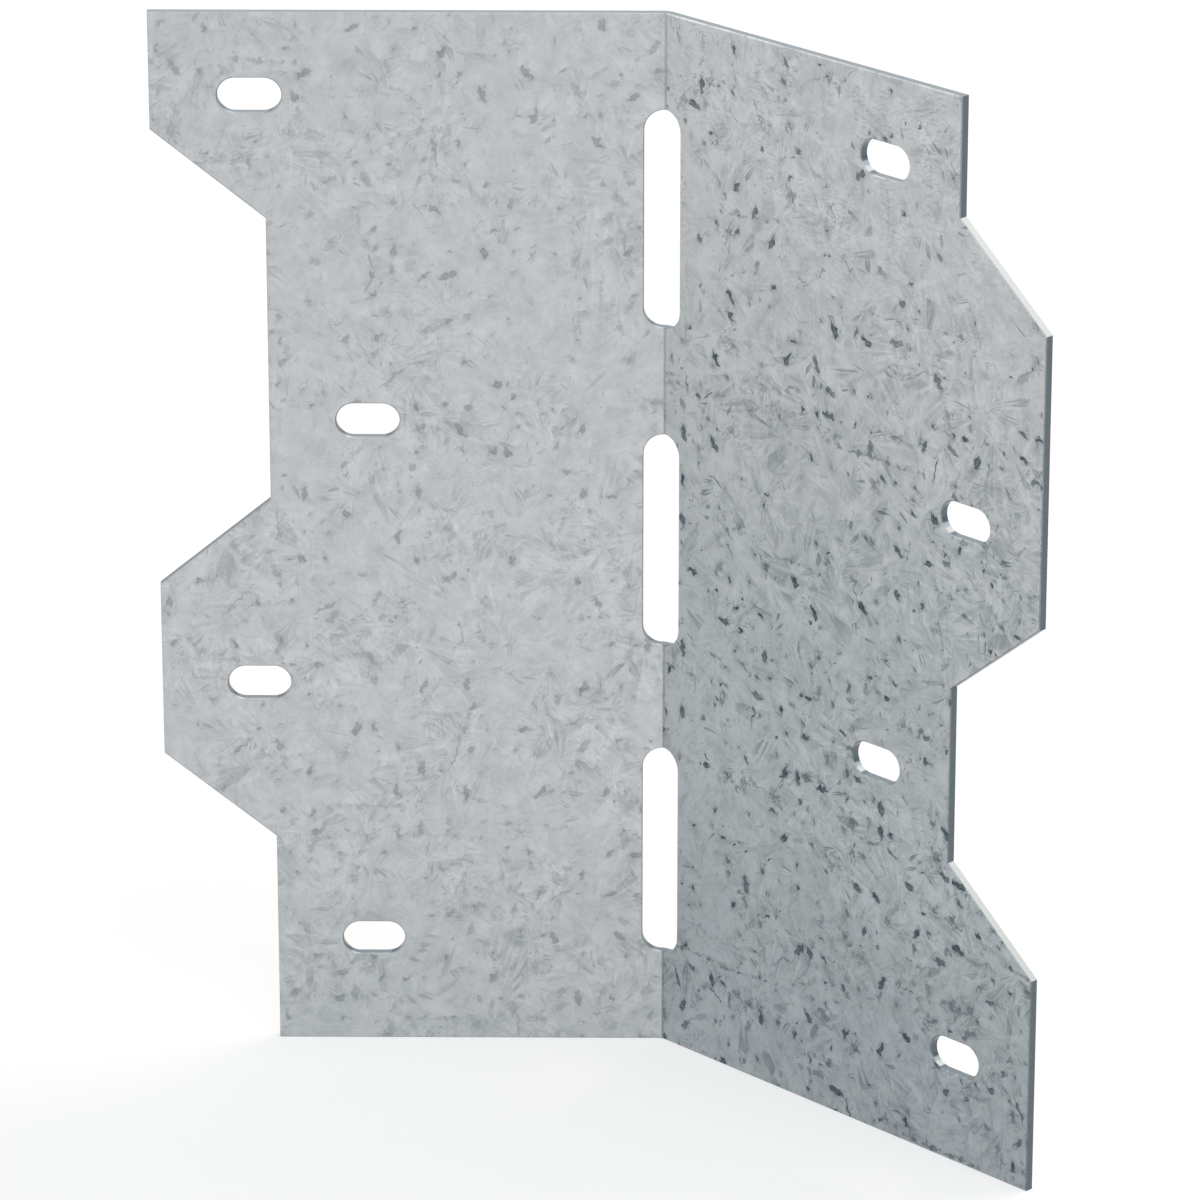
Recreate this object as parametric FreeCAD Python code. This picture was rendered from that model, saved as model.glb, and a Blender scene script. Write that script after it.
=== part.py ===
"""Skewable angle: one galvanised steel sheet, punched flat and folded along a slotted line.

Frame, in millimetres: the planes of the two back faces meet on the Z axis, and the bottom edge is at z = 0.
The left flange's back face lies in the plane y = 0 and runs towards -X. The right flange runs towards +X and -Y.
The fronts of both flanges face -Y, inside the fold.
A reach is a distance out along a flange, measured on its front face from the inside corner of the fold.
"""
import FreeCAD, Part
import math
import os

# Driving dimensions
INCH = 25.4
HEIGHT = 4.875 * INCH
THICKNESS = 1.14
FOLD_ANGLE = 45.0
FOLD_RADIUS = 0.5
EDGE_EASE = 0.12

# Stepped outline of the flanges
WIDE = 2.25 * INCH
NARROW = 1.75 * INCH
STEP_SLOPE = 39.0
FIRST_STEP_FOOT = 1.0 * INCH
SECOND_STEP_HEAD = 2.625 * INCH
THIRD_STEP_FOOT = 3.9375 * INCH

# Nail slots, across the flanges
EDGE_MARGIN = 0.4375 * INCH
NAIL_SLOT_LENGTH = 0.28125 * INCH
NAIL_SLOT_WIDTH = 0.15625 * INCH
NAIL_SLOT_HEIGHTS = (0.5 * INCH, 1.75 * INCH, 3.0 * INCH, 4.5 * INCH)

# Slots along the fold, whose width is measured over both front faces
FOLD_SLOT_LENGTH = 1.0 * INCH
FOLD_SLOT_WIDTH = 4.58
FOLD_SLOT_COUNT = 3
FOLD_WEB = 0.5 * INCH

# Values that follow from them
STEP_RISE = (WIDE - NARROW) * math.tan(math.radians(STEP_SLOPE))
STEP_FEET = (FIRST_STEP_FOOT, SECOND_STEP_HEAD - STEP_RISE, THIRD_STEP_FOOT)
HALF_FOLD = math.radians(FOLD_ANGLE / 2)
TANGENT_REACH = FOLD_RADIUS * math.tan(HALF_FOLD)
FOLD_SLOT_HEIGHTS = tuple(
    EDGE_MARGIN + FOLD_SLOT_LENGTH / 2 + (FOLD_SLOT_LENGTH + FOLD_WEB) * i for i in range(FOLD_SLOT_COUNT)
)

LEFT = -1
RIGHT = 1
ORIGIN = FreeCAD.Vector(0, 0, 0)
DEPTH = FreeCAD.Vector(0, 1, 0)
UP = FreeCAD.Vector(0, 0, 1)


def zone_widths(side):
    """Widths of a flange from the bottom up, changing at each step. The left flange starts narrow."""
    if side == LEFT:
        return (NARROW, WIDE, NARROW, WIDE)
    return (WIDE, NARROW, WIDE, NARROW)


def outline(side):
    """Corners of a flange as (reach, height), from the fold's bottom end round to its top end."""
    widths = zone_widths(side)
    corners = [(TANGENT_REACH, 0), (widths[0], 0)]
    for below, above, foot in zip(widths, widths[1:], STEP_FEET):
        corners.append((below, foot))
        corners.append((above, foot + STEP_RISE))
    corners.append((widths[-1], HEIGHT))
    corners.append((TANGENT_REACH, HEIGHT))
    return corners


def obround(x, z, length, width, upright):
    """Cutter with round ends, square to the sheet and standing out on both sides of it."""
    radius = width / 2
    straight = length / 2 - radius
    corners = [FreeCAD.Vector(a, 0, b) for a, b in (
        (-straight, -radius), (straight, -radius), (straight, radius), (-straight, radius),
    )]
    tip = FreeCAD.Vector(length / 2, 0, 0)
    edges = (
        Part.LineSegment(corners[0], corners[1]),
        Part.Arc(corners[1], tip, corners[2]),
        Part.LineSegment(corners[2], corners[3]),
        Part.Arc(corners[3], -tip, corners[0]),
    )
    cutter = Part.Face(Part.Wire([edge.toShape() for edge in edges])).extrude(DEPTH * (3 * THICKNESS))
    if upright:
        cutter.rotate(ORIGIN, DEPTH, 90)
    cutter.translate(FreeCAD.Vector(x, -THICKNESS, z))
    return cutter


def flange(side):
    """One flat flange with its slots, front face on y = 0 and the fold's inside corner on the Z axis."""
    corners = [FreeCAD.Vector(side * reach, 0, height) for reach, height in outline(side)]
    plate = Part.Face(Part.makePolygon(corners + corners[:1])).extrude(DEPTH * THICKNESS)
    cutters = [
        obround(side * (width - EDGE_MARGIN), height, NAIL_SLOT_LENGTH, NAIL_SLOT_WIDTH, upright=False)
        for width, height in zip(zone_widths(side), NAIL_SLOT_HEIGHTS)
    ]
    cutters += [
        obround(0, height, FOLD_SLOT_LENGTH, FOLD_SLOT_WIDTH, upright=True) for height in FOLD_SLOT_HEIGHTS
    ]
    plate = plate.cut(cutters)
    if side == RIGHT:
        plate.rotate(ORIGIN, UP, -FOLD_ANGLE)
    return plate


def fold_web(low, high):
    """The curved strip of the fold between two heights."""
    centre = FreeCAD.Vector(-TANGENT_REACH, -FOLD_RADIUS, low)
    back = Part.makeCylinder(FOLD_RADIUS + THICKNESS, high - low, centre, UP, FOLD_ANGLE)
    front = Part.makeCylinder(FOLD_RADIUS, high - low, centre, UP, FOLD_ANGLE)
    web = back.cut(front)
    web.rotate(centre, UP, 90 - FOLD_ANGLE)
    return web


def fold_webs():
    """The strips of the fold above, below and between its slots, as far as their round ends."""
    radius = FOLD_SLOT_WIDTH / 2
    half_gap = FOLD_SLOT_LENGTH / 2 - radius + math.sqrt(radius ** 2 - TANGENT_REACH ** 2)
    lows = [0] + [height + half_gap for height in FOLD_SLOT_HEIGHTS]
    highs = [height - half_gap for height in FOLD_SLOT_HEIGHTS] + [HEIGHT]
    return [fold_web(low, high) for low, high in zip(lows, highs)]


def is_sheet_surface(face):
    """True for a front or back face and for the fold, false for a cut wall."""
    if isinstance(face.Surface, Part.Cylinder):
        return abs(face.Surface.Axis.z) > 0.99
    return face.Area > HEIGHT * THICKNESS


def ease_edges(sheet):
    """Bevel every punched edge, where a sheet surface meets a cut wall."""
    rims = []
    for edge in sheet.Edges:
        sheet_surfaces = [face for face in sheet.ancestorsOfType(edge, Part.Face) if is_sheet_surface(face)]
        if len(sheet_surfaces) == 1:
            rims.append(edge)
    return sheet.makeChamfer(EDGE_EASE, rims)


def skewable_angle():
    """The whole sheet, moved so that its back planes meet on the Z axis."""
    sheet = flange(LEFT).fuse([flange(RIGHT)] + fold_webs()).removeSplitter()
    sheet = ease_edges(sheet)
    sheet.translate(FreeCAD.Vector(-THICKNESS * math.tan(HALF_FOLD), -THICKNESS, 0))
    return sheet.Solids[0]


os.makedirs("parts", exist_ok=True)
angle = skewable_angle()
angle.exportStep("parts/skewable_angle.step")
print("skewable_angle", angle.isValid(), round(angle.Volume, 2), angle.BoundBox)
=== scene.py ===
"""Looks of the skewable angle: a punched and folded sheet of galvanised steel, in plain studio light.

The scene is in metres. Sizes in the steel's pattern are in mm, on the sheet as if it were unfolded.
"""
import math
from collections import namedtuple

import bpy
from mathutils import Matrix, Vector

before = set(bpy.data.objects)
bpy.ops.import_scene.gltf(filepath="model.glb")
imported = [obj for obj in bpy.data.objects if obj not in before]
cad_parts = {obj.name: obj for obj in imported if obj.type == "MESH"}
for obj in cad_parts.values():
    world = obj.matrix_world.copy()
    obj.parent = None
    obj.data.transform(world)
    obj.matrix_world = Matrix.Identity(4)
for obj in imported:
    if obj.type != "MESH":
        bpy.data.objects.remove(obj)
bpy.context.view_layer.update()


def rgb(red, green, blue):
    return (red, green, blue, 1.0)


# A ramp goes smoothly from start, where a value is at low, to end, where it is at high
Ramp = namedtuple("Ramp", "low high start end", defaults=(0.0, 1.0))
Cell = namedtuple("Cell", "middle distance first second third")
Sheet = namedtuple("Sheet", "solid flat across height left wall rim fold shaded")
Fans = namedtuple("Fans", "grain length reach darkness seed")
Scatter = namedtuple("Scatter", "place drift crowding blur")
Spots = namedtuple(
    "Spots",
    "spacing share length width swing grain raggedness hatching softness halo strength seed",
)
Lamp = namedtuple("Lamp", "name direction distance width height colour brightness")

# The sheet's own directions. The back has the pattern of a place farther along the sheet
NODE = "skewable_angle"
MM_PER_METRE = 1000.0
HALF_FOLD = math.radians(22.5)
LEFT_BACK = (0.0, 1.0, 0.0)
RIGHT_BACK = (math.sin(2 * HALF_FOLD), math.cos(2 * HALF_FOLD), 0.0)
LEFT_ALONG = (1.0, 0.0, 0.0)
RIGHT_ALONG = (math.cos(2 * HALF_FOLD), -math.sin(2 * HALF_FOLD), 0.0)
ACROSS_FOLD = (math.cos(HALF_FOLD), -math.sin(HALF_FOLD), 0.0)
UP = (0.0, 0.0, 1.0)
BACK_SHIFT = 300.0

# Cut walls and their rims, told by how they face out of the sheet. The rims get painted shade, less of it
# on those that face the painted light from up and left; the left flange's walls that face right get painted
# shade too
WALL_FACING = 0.5
RIM_FACING = 0.85
PAINTED_LIGHT_FROM = (-0.9, 0.0, 0.8)
PAINTED_LIT_RIM = 0.4
PAINTED_SHADED_RIM = 0.1
PAINTED_LIT_RIM_SHADE_LEFT = 0.25
RIM_PAINTED_SHADE = 0.5
SHADED_WALLS = Ramp(0.35, 0.75)
SHADED_WALL_DARKNESS = 0.7

# Painted shade: the thin dark line in the fold, by the distance from its middle in mm
FOLD_LINE_MIDDLE = 0.1
FOLD_LINE = Ramp(0.22, 0.08)
FOLD_PAINTED_SHADE = 0.38

# Fans of crystals in the zinc. Grain is the size of a fan, and length that of a petal in it, in mm
FINE_FANS = Fans(grain=3.0, length=2.0, reach=1.3, darkness=0.6, seed=11.0)
BROAD_FANS = Fans(grain=6.0, length=4.0, reach=1.3, darkness=0.4, seed=47.0)
NEAREST_ROOT = 0.4
PETALS_PER_RADIAN = 4.0
PETAL_SHUFFLE = 40.0
STROKES_PER_PETAL = (0.8, 3.0)
PETAL_CONTRAST = 4.0
PETAL_STROKES = Ramp(0.35, 0.65, -1.0, -0.3)
PETAL_GAPS = Ramp(0.55, 0.95, 0.0, -0.25)
GAP_RAGGEDNESS = -0.6
LIGHT_PETALS = Ramp(0.3, 1.0, 0.0, 0.35)
LIGHT_STROKES = Ramp(0.5, 0.75, 0.0, 0.3)
DARK_PETAL_SHARE = 0.015
DARK_PETAL_STROKES = Ramp(0.62, 0.38, 0.1, 1.0)
DARK_PETAL_EDGE = Ramp(0.75, 0.35)

# Dark spots in the zinc. Lengths are in mm, swings in radians, and grain is lines per mm along and across
FLECKS = Spots(
    spacing=2.6, share=0.7, length=2.3, width=1.1, swing=2.6, grain=(1.4, 3.4),
    raggedness=0.7, hatching=0.25, softness=0.3, halo=0.26, strength=1.0, seed=3.0,
)
GRAINS = Spots(
    spacing=1.9, share=0.2, length=0.9, width=0.5, swing=3.0, grain=(1.4, 4.0),
    raggedness=0.8, hatching=0.3, softness=0.35, halo=0.15, strength=1.0, seed=71.0,
)
SMUDGES = Spots(
    spacing=3.4, share=0.8, length=3.4, width=2.4, swing=2.4, grain=(0.9, 3.0),
    raggedness=1.8, hatching=0.7, softness=0.9, halo=0.0, strength=0.7, seed=19.0,
)
SLASHES = Spots(
    spacing=9.0, share=0.5, length=6.0, width=0.5, swing=1.6, grain=(1.4, 4.0),
    raggedness=1.0, hatching=0.3, softness=0.4, halo=0.1, strength=0.9, seed=37.0,
)
DRAG_MARKS = Spots(
    spacing=13.0, share=0.6, length=20.0, width=0.8, swing=0.2, grain=(1.1, 0.35),
    raggedness=2.4, hatching=0.3, softness=0.8, halo=0.0, strength=0.75, seed=53.0,
)
LEAN_LEFT = math.radians(-70)
LEAN_RIGHT = math.radians(65)
LEVEL = 0.0
BLUR_LEFT = 1.1
BLUR_RIGHT = 1.0
SPOT_SCATTER = 0.85
SPOT_WARP = 0.6
DRIFTS_PER_MM = 1.5
SMALLEST_SPOT = 0.35
FAINTEST_SPOT = 0.5
HALO_DEPTHS = (-0.6, 0.15)
HATCH_LINES = (0.4, 0.58)

# Thin curved hairs, in short lengths
HAIRS_PER_MM = 0.2
HAIR_WARP = 1.2
HAIR_LINE = Ramp(0.008, 0.0)
HAIR_LENGTHS_PER_MM = 0.45
HAIR_LENGTHS = Ramp(0.45, 0.58)
HAIR_DARKNESS = 0.5

# Level scuffs in upright columns, high on the right flange
SCUFFS_PER_MM = (1.0, 3.6)
SCUFF_TONE = Ramp(0.5, 0.7, 0.08, -0.26)
SCUFF_COLUMNS_PER_MM = (0.28, 0.09)
SCUFF_COLUMNS = Ramp(0.44, 0.62)
SCUFF_HEIGHTS = Ramp(90.0, 110.0)

# Clumps and patches, where crystals stand out and spots gather, and the mottling of the tone
CLUMPS_PER_MM = 0.09
CLUMP_CONTRAST_LEFT = Ramp(0.36, 0.64, 0.65, 1.35)
CLUMP_CROWDING_LEFT = Ramp(0.38, 0.62, 0.3, 1.25)
CLUMP_CROWDING_RIGHT = Ramp(0.36, 0.62, 0.25, 1.0)
PATCHES_PER_MM = 0.05
PATCH_CONTRAST_RIGHT = Ramp(0.35, 0.65, 0.7, 1.2)
MOTTLES_PER_MM = 0.35
MOTTLE_DETAIL = 4.0
MOTTLE_ROUGHNESS = 0.75
MOTTLING_LEFT = 0.85
MOTTLING_RIGHT = 1.0

# How the zinc changes with the height on each flange, and with the distance from the fold, in mm
CONTRAST_LEFT = Ramp(50.0, 100.0, 0.3, 0.21)
CONTRAST_RIGHT = Ramp(75.0, 112.0, 0.52, 0.3)
# Painted shade: the zinc darkened towards the foot of each flange, most on the right flange, and slightly
# all over the left flange
PAINTED_SHADE_LEFT = Ramp(30.0, 0.0, 0.07, 0.2)
PAINTED_SHADE_RIGHT = Ramp(125.0, 50.0, 0.0, 0.46)
PAINTED_FOOT_SHADE_RIGHT = Ramp(42.0, 8.0, 0.0, 0.27)
CROWDING_RIGHT = Ramp(105.0, 70.0, 0.5, 1.0)
FOOT_CROWDING_RIGHT = Ramp(45.0, 15.0, 0.0, 0.3)
DARKNESS_LEFT = 0.47
DARKNESS_RIGHT = Ramp(110.0, 80.0, 0.85, 1.0)
# Painted light: a lighter strip on the right flange beside the fold
PAINTED_LIGHT_BESIDE_FOLD = Ramp(20.0, 0.0, 0.0, 0.26)

# Colours and surface of the zinc and of the bare steel. The bump's height is in metres
MIDDLE_TONE = 0.6
ZINC_DEEP = rgb(0.39, 0.415, 0.425)
ZINC_PALE = rgb(0.665, 0.68, 0.686)
# The colour that the painted shade multiplies the zinc by
ZINC_PAINTED_SHADE = rgb(0.495, 0.558, 0.582)
# The colour of the dark marks, and of the painted shade in the fold and on the rims
ZINC_MARKS_AND_SHADE = rgb(0.045, 0.072, 0.085)
STEEL_DEEP = rgb(0.097, 0.124, 0.14)
STEEL_PALE = rgb(0.124, 0.155, 0.173)
STEEL_SHADED = rgb(0.03, 0.04, 0.05)
METALLIC = 0.85
ZINC_ROUGHNESS = Ramp(-0.4, 0.4, 0.48, 0.38)
STEEL_ROUGHNESS = Ramp(0.2, 0.8, 0.2, 0.24)
STREAKS_PER_MM = 1.5
STREAK_RELIEF = 0.3
RIPPLES_PER_MM = 1.6
BUMP_STRENGTH = 0.12
BUMP_HEIGHT = 0.00005

# The floor and the sky, as they give light and as they are seen
FLOOR_SIDE = 6.0
FLOOR_COLOUR = rgb(0.94, 0.96, 0.975)
FLOOR_ROUGHNESS = 0.9
FLOOR_WHITENESS = 0.65
SKY_COLOUR = rgb(0.955, 0.975, 1.0)
SKY_LIGHT = 0.57
SKY_SEEN = 0.85

# Soft lamps round the part. A lamp's brightness is the level that a mirror of it would show
WHITE = rgb(1.0, 1.0, 1.0)
LAMP_TARGET = Vector((0.0, 0.0, 0.06))
LAMPS = (
    Lamp("key", (0.56, 0.37, 0.73), 1.2, 0.75, 0.42, rgb(1.0, 0.81, 0.69), 7.0),
    Lamp("fill", (0.4, -0.55, 0.74), 1.4, 1.1, 1.1, WHITE, 1.9),
    Lamp("back", (0.12, 0.84, 0.53), 1.3, 1.0, 0.9, WHITE, 0.75),
    Lamp("side", (0.87, 0.08, 0.49), 1.0, 0.3, 0.3, rgb(1.0, 0.95, 0.9), 4.0),
    Lamp("left", (-0.72, 0.214, 0.66), 0.9, 0.25, 0.25, WHITE, 2.5),
)

# The camera, fitted to the photograph
PHOTO_SIDE = 1200
FOCAL_LENGTH_PIXELS = 6927.2
SENSOR_WIDTH = 36.0
CAMERA_PLACE = (-0.00084, -0.73629, 0.33621)
CAMERA_DOWN = math.radians(20.957)
CAMERA_TURN = math.radians(0.533)
CAMERA_CLIP_START = 0.01


class Graph:
    """Short calls for making and linking the nodes of a material or world."""

    def __init__(self, owner):
        owner.use_nodes = True
        self.tree = owner.node_tree
        self.tree.nodes.clear()

    def add(self, kind, inputs=(), **settings):
        node = self.tree.nodes.new(kind)
        for name, value in settings.items():
            setattr(node, name, value)
        for socket, value in dict(inputs).items():
            if isinstance(value, bpy.types.NodeSocket):
                self.tree.links.new(value, node.inputs[socket])
            else:
                node.inputs[socket].default_value = value
        return node

    def math(self, operation, *values):
        return self.add("ShaderNodeMath", enumerate(values), operation=operation).outputs[0]

    def vector(self, operation, *values, output="Vector"):
        return self.add("ShaderNodeVectorMath", enumerate(values), operation=operation).outputs[output]

    def dot(self, first, second):
        return self.vector("DOT_PRODUCT", first, second, output="Value")

    def point(self, x, y=0.0):
        return self.add("ShaderNodeCombineXYZ", {"X": x, "Y": y}).outputs[0]

    def ramp(self, value, low, high, start=0.0, end=1.0):
        inputs = {"Value": value, "From Min": low, "From Max": high, "To Min": start, "To Max": end}
        return self.add("ShaderNodeMapRange", inputs, interpolation_type="SMOOTHSTEP").outputs[0]

    def mix(self, amount, first, second):
        return self.add("ShaderNodeMix", {0: amount, 2: first, 3: second}).outputs[0]

    def tint(self, amount, first, second, blend="MIX"):
        inputs = {0: amount, 6: first, 7: second}
        return self.add("ShaderNodeMix", inputs, data_type="RGBA", blend_type=blend).outputs[2]

    def lift(self, value, amount, base):
        """base raised or lowered by a value that is 0.5 on the whole."""
        return self.math("MULTIPLY_ADD", self.math("SUBTRACT", value, 0.5), amount, base)

    def noise(self, place, scale, detail=0.0, roughness=0.5, output="Fac", dimensions="2D"):
        inputs = {"Vector": place, "Scale": scale, "Detail": detail, "Roughness": roughness}
        return self.add("ShaderNodeTexNoise", inputs, noise_dimensions=dimensions).outputs[output]

    def lines(self, place, density, detail=1.0):
        """Noise with one density along the sheet and another across it."""
        return self.noise(self.vector("MULTIPLY", place, (*density, 0.0)), 1.0, detail)

    def cells(self, place, size=1.0, randomness=1.0):
        """Random cells: the middle of each, the distance from it, and three random numbers for each."""
        inputs = {"Vector": place, "Scale": 1.0 / size, "Randomness": randomness}
        found = self.add("ShaderNodeTexVoronoi", inputs, voronoi_dimensions="2D").outputs
        chances = self.add("ShaderNodeSeparateColor", {"Color": found["Color"]}).outputs
        return Cell(found["Position"], found["Distance"], chances["Red"], chances["Green"], chances["Blue"])

    def turn(self, place, angle):
        inputs = {"Vector": place, "Angle": angle}
        return self.add("ShaderNodeVectorRotate", inputs, rotation_type="Z_AXIS").outputs[0]

    def drift(self, place, scale):
        """A smooth random direction at each place."""
        return self.vector("SUBTRACT", self.noise(place, scale, output="Color"), (0.5, 0.5, 0.5))

    def shift(self, place, drift, amount):
        return self.vector("MULTIPLY_ADD", drift, (amount, amount, 0.0), place)


def unfold(graph):
    """Places in mm, in space and unfolded, and masks: left flange, walls, rims with painted shade, the
    fold's line of painted shade, walls with painted shade.
    """
    texture = graph.add("ShaderNodeTexCoord")
    normal = texture.outputs["Normal"]
    solid = graph.vector("MULTIPLY", texture.outputs["Object"], (MM_PER_METRE,) * 3)
    across = graph.dot(solid, ACROSS_FOLD)
    height = graph.dot(solid, UP)
    left = graph.math("LESS_THAN", across, 0.0)

    along = graph.mix(left, graph.dot(solid, RIGHT_ALONG), graph.dot(solid, LEFT_ALONG))
    on_back = graph.math("GREATER_THAN", graph.dot(normal, LEFT_BACK), 0.0)
    flat = graph.point(graph.math("MULTIPLY_ADD", on_back, BACK_SHIFT, along), height)

    facing_left = graph.math("ABSOLUTE", graph.dot(normal, LEFT_BACK))
    facing_right = graph.math("ABSOLUTE", graph.dot(normal, RIGHT_BACK))
    facing = graph.mix(left, facing_right, facing_left)
    wall = graph.math("LESS_THAN", facing, WALL_FACING)
    least = graph.mix(left, 0.0, PAINTED_LIT_RIM_SHADE_LEFT)
    rim_painted_shade = graph.ramp(graph.dot(normal, PAINTED_LIGHT_FROM), PAINTED_LIT_RIM, PAINTED_SHADED_RIM, least)
    rim = graph.math("MULTIPLY", graph.math("LESS_THAN", facing, RIM_FACING), rim_painted_shade)
    shaded = graph.math("MULTIPLY", left, graph.ramp(graph.dot(normal, LEFT_ALONG), *SHADED_WALLS))

    from_fold_line = graph.math("ABSOLUTE", graph.math("SUBTRACT", across, FOLD_LINE_MIDDLE))
    fold = graph.ramp(from_fold_line, *FOLD_LINE)
    return Sheet(solid, flat, across, height, left, wall, rim, fold, shaded)


def by_flange(graph, sheet, left, right):
    return graph.mix(sheet.left, right, left)


def fans(graph, place, kind):
    """Random grains, and places in the fan of each: out from its root and round it, counted in petals."""
    moved = graph.vector("ADD", place, (kind.seed, -kind.seed, 0.0))
    grain = graph.cells(moved, kind.grain)
    offset = graph.vector("SUBTRACT", moved, grain.middle)
    offset = graph.turn(offset, graph.math("MULTIPLY", grain.first, math.tau))
    reach = kind.reach * kind.grain
    root = graph.ramp(grain.second, 0.0, 1.0, NEAREST_ROOT * reach, reach)
    offset = graph.vector("ADD", offset, graph.point(root))
    parts = graph.add("ShaderNodeSeparateXYZ", {"Vector": offset}).outputs
    ray = graph.math("ARCTAN2", parts["Y"], parts["X"])
    out = graph.vector("LENGTH", offset, output="Value")
    shuffle = graph.math("MULTIPLY", grain.third, PETAL_SHUFFLE)
    out = graph.math("MULTIPLY_ADD", out, 1 / kind.length, shuffle)
    return grain, graph.point(out, graph.math("MULTIPLY", ray, PETALS_PER_RADIAN))


def crystals(graph, place, kind):
    """Tone of fans of petals, one fan to a grain, and a mask of the few petals that are dark."""
    grain, polar = fans(graph, place, kind)
    petal = graph.cells(polar)
    strokes = graph.lines(polar, STROKES_PER_PETAL)

    depth = graph.math("POWER", petal.first, PETAL_CONTRAST)
    shade = graph.math("MULTIPLY", depth, graph.ramp(strokes, *PETAL_STROKES))
    gap = graph.ramp(graph.lift(strokes, GAP_RAGGEDNESS, petal.distance), *PETAL_GAPS)
    shade = graph.math("ADD", shade, graph.math("MULTIPLY", gap, grain.third))
    light = graph.math("ADD", graph.ramp(petal.second, *LIGHT_PETALS), graph.ramp(strokes, *LIGHT_STROKES))

    dark = graph.math("LESS_THAN", petal.third, DARK_PETAL_SHARE)
    dark = graph.math("MULTIPLY", dark, kind.darkness)
    dark = graph.math("MULTIPLY", dark, graph.ramp(strokes, *DARK_PETAL_STROKES))
    dark = graph.math("MULTIPLY", dark, graph.ramp(petal.distance, *DARK_PETAL_EDGE))
    return graph.math("ADD", shade, light), dark


def spots(graph, scatter, kind, lean):
    """Mask of scattered spots of a kind, at most one to a cell, of random size, lean and strength."""
    moved = graph.vector("ADD", scatter.place, (kind.seed, kind.seed, 0.0))
    cell = graph.cells(moved, kind.spacing, SPOT_SCATTER)
    offset = graph.vector("SUBTRACT", graph.shift(moved, scatter.drift, SPOT_WARP), cell.middle)
    turned = graph.turn(offset, graph.lift(cell.first, kind.swing, lean))
    oval = graph.vector("MULTIPLY", turned, (2 / kind.length, 2 / kind.width, 0.0))
    lines = graph.lines(turned, kind.grain)

    size = graph.math("POWER", cell.third, 2.0)
    radius = graph.math("MULTIPLY_ADD", size, 1.0 - SMALLEST_SPOT, SMALLEST_SPOT)
    inside = graph.math("SUBTRACT", radius, graph.vector("LENGTH", oval, output="Value"))
    depth = graph.lift(lines, kind.raggedness, inside)
    core = graph.ramp(depth, 0.0, graph.math("MULTIPLY", scatter.blur, kind.softness))
    shade = graph.math("MAXIMUM", core, graph.ramp(depth, *HALO_DEPTHS, 0.0, kind.halo))
    shade = graph.math("MULTIPLY", shade, graph.ramp(lines, *HATCH_LINES, 1.0 - kind.hatching, 1.0))

    faintest = FAINTEST_SPOT * kind.strength
    strength = graph.ramp(cell.second, 0.0, kind.share, kind.strength, faintest)
    kept = graph.math("LESS_THAN", cell.second, graph.math("MULTIPLY", scatter.crowding, kind.share))
    return graph.math("MULTIPLY", shade, graph.math("MULTIPLY", strength, kept))


def hairs(graph, place, drift):
    """Mask of thin curved lines, in short lengths."""
    field = graph.noise(graph.shift(place, drift, HAIR_WARP), HAIRS_PER_MM, detail=1.0)
    line = graph.ramp(graph.math("ABSOLUTE", graph.math("SUBTRACT", field, 0.5)), *HAIR_LINE)
    lengths = graph.ramp(graph.noise(place, HAIR_LENGTHS_PER_MM), *HAIR_LENGTHS)
    return graph.math("MULTIPLY", line, lengths)


def scuffs(graph, sheet):
    """Tone of fine level lines, in columns near the top."""
    tone = graph.ramp(graph.lines(sheet.flat, SCUFFS_PER_MM), *SCUFF_TONE)
    columns = graph.ramp(graph.lines(sheet.flat, SCUFF_COLUMNS_PER_MM, detail=0.0), *SCUFF_COLUMNS)
    columns = graph.math("MULTIPLY", columns, graph.ramp(sheet.height, *SCUFF_HEIGHTS))
    return graph.math("MULTIPLY", tone, columns)


def zinc_tone(graph, sheet, clumps, petals):
    """Tone of the zinc about its middle: petals, mottling, a strip of painted light beside the fold, and
    scuffs.
    """
    contrast_left = graph.ramp(sheet.height, *CONTRAST_LEFT)
    contrast_right = graph.ramp(sheet.height, *CONTRAST_RIGHT)
    tone = graph.math("MULTIPLY", petals, by_flange(graph, sheet, contrast_left, contrast_right))
    patches_left = graph.ramp(clumps, *CLUMP_CONTRAST_LEFT)
    patches_right = graph.ramp(graph.noise(sheet.flat, PATCHES_PER_MM), *PATCH_CONTRAST_RIGHT)
    tone = graph.math("MULTIPLY", tone, by_flange(graph, sheet, patches_left, patches_right))

    mottles = graph.noise(sheet.flat, MOTTLES_PER_MM, MOTTLE_DETAIL, MOTTLE_ROUGHNESS)
    tone = graph.lift(mottles, by_flange(graph, sheet, MOTTLING_LEFT, MOTTLING_RIGHT), tone)
    painted_light_strip = graph.ramp(sheet.across, *PAINTED_LIGHT_BESIDE_FOLD)
    tone = graph.math("ADD", tone, by_flange(graph, sheet, 0.0, painted_light_strip))
    return graph.math("ADD", tone, by_flange(graph, sheet, 0.0, scuffs(graph, sheet)))


def zinc_colour(graph, sheet, tone):
    """Colour of the zinc without its dark marks, with painted shade that darkens it lower down."""
    zinc = graph.tint(graph.math("ADD", tone, MIDDLE_TONE), ZINC_DEEP, ZINC_PALE)
    left_shade = graph.ramp(sheet.height, *PAINTED_SHADE_LEFT)
    right_shade = graph.ramp(sheet.height, *PAINTED_SHADE_RIGHT)
    right_shade = graph.math("ADD", right_shade, graph.ramp(sheet.height, *PAINTED_FOOT_SHADE_RIGHT))
    painted_shade = by_flange(graph, sheet, left_shade, right_shade)
    return graph.tint(painted_shade, zinc, ZINC_PAINTED_SHADE, blend="MULTIPLY")


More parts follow.
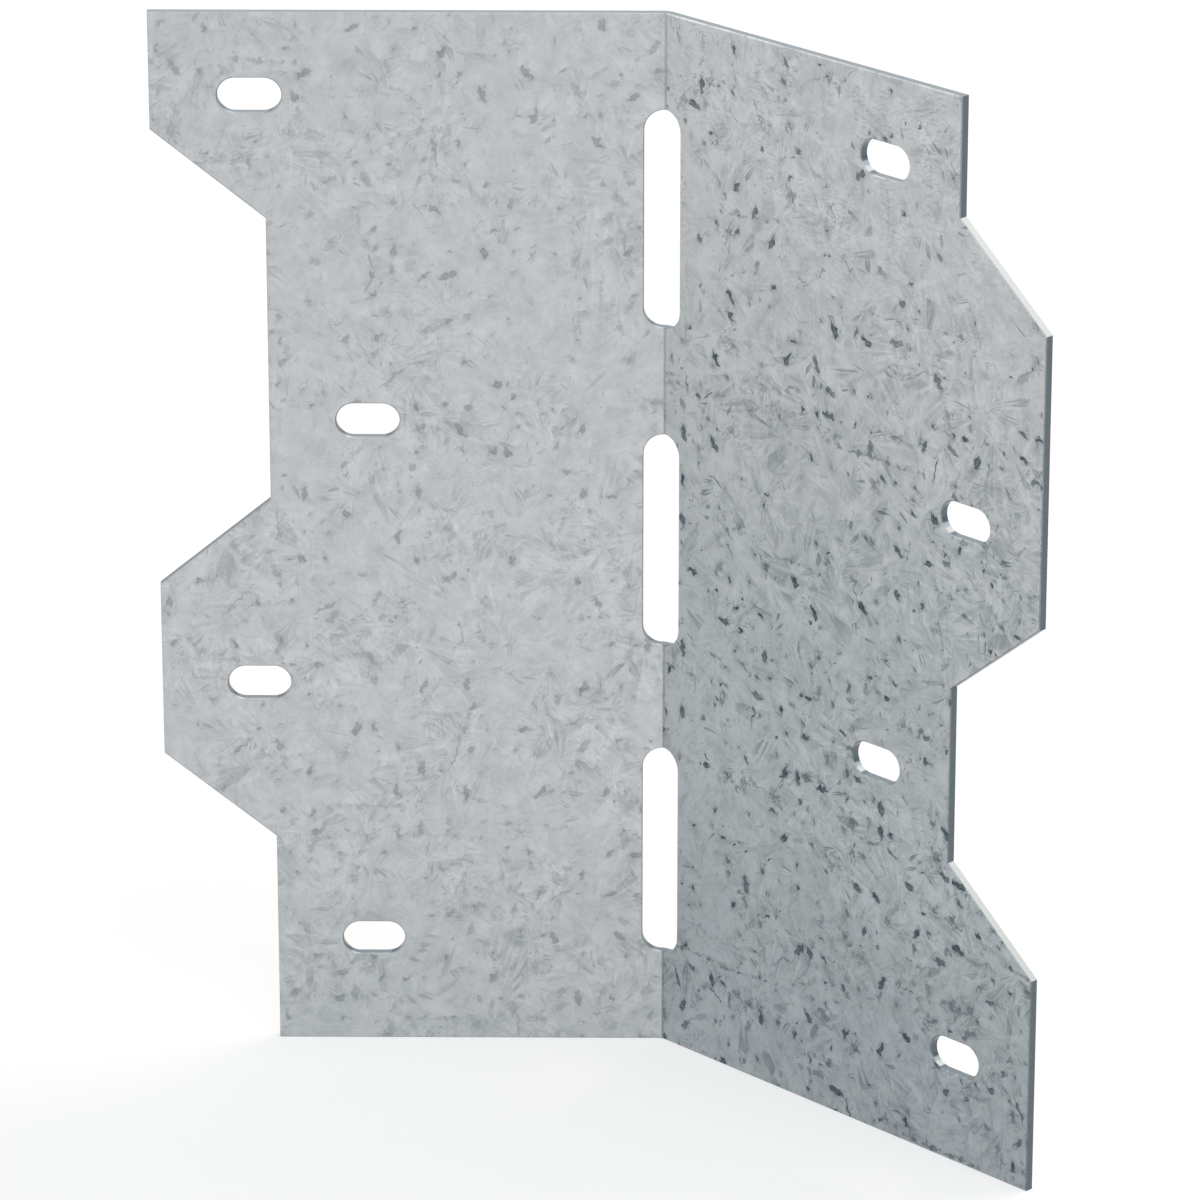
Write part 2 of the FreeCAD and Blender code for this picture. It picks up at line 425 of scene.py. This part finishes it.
def spot_scatter(graph, sheet, clumps):
    """Where spots fall: how much they drift, crowd and blur at each place."""
    crowd_left = graph.ramp(clumps, *CLUMP_CROWDING_LEFT)
    crowd_right = graph.ramp(sheet.height, *CROWDING_RIGHT)
    crowd_right = graph.math("ADD", crowd_right, graph.ramp(sheet.height, *FOOT_CROWDING_RIGHT))
    crowd_right = graph.math("MULTIPLY", crowd_right, graph.ramp(clumps, *CLUMP_CROWDING_RIGHT))
    crowding = by_flange(graph, sheet, crowd_left, crowd_right)
    blur = by_flange(graph, sheet, BLUR_LEFT, BLUR_RIGHT)
    return Scatter(sheet.flat, graph.drift(sheet.flat, DRIFTS_PER_MM), crowding, blur)


def marks_and_painted_shade(graph, sheet, clumps, dark_petals):
    """Mask of all that is dark in the zinc: petals, hairs, spots, and the painted shade of the fold's line
    and the rims.
    """
    scatter = spot_scatter(graph, sheet, clumps)
    hair = graph.math("MULTIPLY", hairs(graph, sheet.flat, scatter.drift), HAIR_DARKNESS)
    dark = graph.math("MAXIMUM", dark_petals, hair)
    lean = by_flange(graph, sheet, LEAN_LEFT, LEAN_RIGHT)
    for kind in (FLECKS, GRAINS, SMUDGES, SLASHES):
        dark = graph.math("MAXIMUM", dark, spots(graph, scatter, kind, lean))
    dark = graph.math("MAXIMUM", dark, spots(graph, scatter, DRAG_MARKS, LEVEL))

    darkness_right = graph.ramp(sheet.height, *DARKNESS_RIGHT)
    dark = graph.math("MULTIPLY", dark, by_flange(graph, sheet, DARKNESS_LEFT, darkness_right))
    dark = graph.math("MAXIMUM", dark, graph.math("MULTIPLY", sheet.fold, FOLD_PAINTED_SHADE))
    return graph.math("MAXIMUM", dark, graph.math("MULTIPLY", sheet.rim, RIM_PAINTED_SHADE))


def steel_colour(graph, sheet, streaks):
    """Colour of the bare steel on the cut walls."""
    steel = graph.tint(streaks, STEEL_DEEP, STEEL_PALE)
    return graph.tint(graph.math("MULTIPLY", sheet.shaded, SHADED_WALL_DARKNESS), steel, STEEL_SHADED)


def relief(graph, sheet, streaks):
    """Fine ripples in the zinc and streaks in the bare steel."""
    streak = graph.math("MULTIPLY", streaks, STREAK_RELIEF)
    ripple = graph.mix(sheet.wall, graph.noise(sheet.flat, RIPPLES_PER_MM), streak)
    inputs = {"Strength": BUMP_STRENGTH, "Distance": BUMP_HEIGHT, "Height": ripple}
    return graph.add("ShaderNodeBump", inputs).outputs[0]


def galvanised_steel():
    """Zinc with a fine leafy spangle and dark flecks, and bare steel on the cut walls."""
    material = bpy.data.materials.new("galvanised_steel")
    graph = Graph(material)
    sheet = unfold(graph)
    clumps = graph.noise(sheet.flat, CLUMPS_PER_MM, detail=1.0)
    fine, fine_dark = crystals(graph, sheet.flat, FINE_FANS)
    broad, broad_dark = crystals(graph, sheet.flat, BROAD_FANS)
    tone = zinc_tone(graph, sheet, clumps, graph.math("ADD", fine, broad))
    dark = marks_and_painted_shade(graph, sheet, clumps, graph.math("MAXIMUM", fine_dark, broad_dark))
    zinc = graph.tint(dark, zinc_colour(graph, sheet, tone), ZINC_MARKS_AND_SHADE)

    streaks = graph.noise(sheet.solid, STREAKS_PER_MM, detail=1.0, dimensions="3D")
    zinc_roughness = graph.ramp(tone, *ZINC_ROUGHNESS)
    steel_roughness = graph.ramp(streaks, *STEEL_ROUGHNESS)
    inputs = {
        "Base Color": graph.tint(sheet.wall, zinc, steel_colour(graph, sheet, streaks)),
        "Roughness": graph.mix(sheet.wall, zinc_roughness, steel_roughness),
        "Normal": relief(graph, sheet, streaks),
        "Metallic": METALLIC,
    }
    shader = graph.add("ShaderNodeBsdfPrincipled", inputs).outputs[0]
    graph.add("ShaderNodeOutputMaterial", {"Surface": shader})
    return material


def seen(graph):
    """1 for what the camera sees, straight or in a mirror or glass, and 0 for what only gives light."""
    path = graph.add("ShaderNodeLightPath").outputs
    mirrored = graph.math("MAXIMUM", path["Is Glossy Ray"], path["Is Transmission Ray"])
    return graph.math("MAXIMUM", path["Is Camera Ray"], mirrored)


def floor():
    """A plain pale floor that the part stands on. Seen, it is mostly white, with a fainter shadow."""
    material = bpy.data.materials.new("floor")
    graph = Graph(material)
    inputs = {"Base Color": FLOOR_COLOUR, "Roughness": FLOOR_ROUGHNESS, "Specular IOR Level": 0.0}
    shaded = graph.add("ShaderNodeBsdfPrincipled", inputs).outputs[0]
    white = graph.add("ShaderNodeEmission").outputs[0]
    share = graph.math("MULTIPLY", seen(graph), FLOOR_WHITENESS)
    mixed = graph.add("ShaderNodeMixShader", {0: share, 1: shaded, 2: white}).outputs[0]
    graph.add("ShaderNodeOutputMaterial", {"Surface": mixed})
    bpy.ops.mesh.primitive_plane_add(size=FLOOR_SIDE)
    plane = bpy.context.object
    plane.name = "floor"
    plane.data.materials.append(material)


def sky():
    """Even light from all round, that looks white."""
    world = bpy.data.worlds.new("studio")
    bpy.context.scene.world = world
    graph = Graph(world)
    inputs = {"Color": SKY_COLOUR, "Strength": graph.mix(seen(graph), SKY_LIGHT, SKY_SEEN)}
    background = graph.add("ShaderNodeBackground", inputs).outputs[0]
    graph.add("ShaderNodeOutputWorld", {"Surface": background})


def softbox(lamp):
    """A rectangular lamp that faces the part."""
    light = bpy.data.lights.new(lamp.name, "AREA")
    light.shape = "RECTANGLE"
    light.size = lamp.width
    light.size_y = lamp.height
    light.color = lamp.colour[:3]
    light.energy = lamp.brightness * math.pi * lamp.width * lamp.height
    holder = bpy.data.objects.new(lamp.name, light)
    aim = Vector(lamp.direction).normalized()
    holder.location = aim * lamp.distance + LAMP_TARGET
    holder.rotation_euler = aim.to_track_quat("Z", "Y").to_euler()
    holder.visible_camera = False
    bpy.context.scene.collection.objects.link(holder)


def camera():
    data = bpy.data.cameras.new("camera")
    data.sensor_width = SENSOR_WIDTH
    data.lens = FOCAL_LENGTH_PIXELS / PHOTO_SIDE * SENSOR_WIDTH
    data.clip_start = CAMERA_CLIP_START
    holder = bpy.data.objects.new("camera", data)
    holder.location = CAMERA_PLACE
    holder.rotation_euler = (math.pi / 2 - CAMERA_DOWN, 0.0, CAMERA_TURN)
    bpy.context.scene.collection.objects.link(holder)
    bpy.context.scene.camera = holder


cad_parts[NODE].material_slots[0].material = galvanised_steel()
floor()
sky()
for lamp in LAMPS:
    softbox(lamp)
camera()
bpy.context.scene.view_settings.view_transform = "Standard"
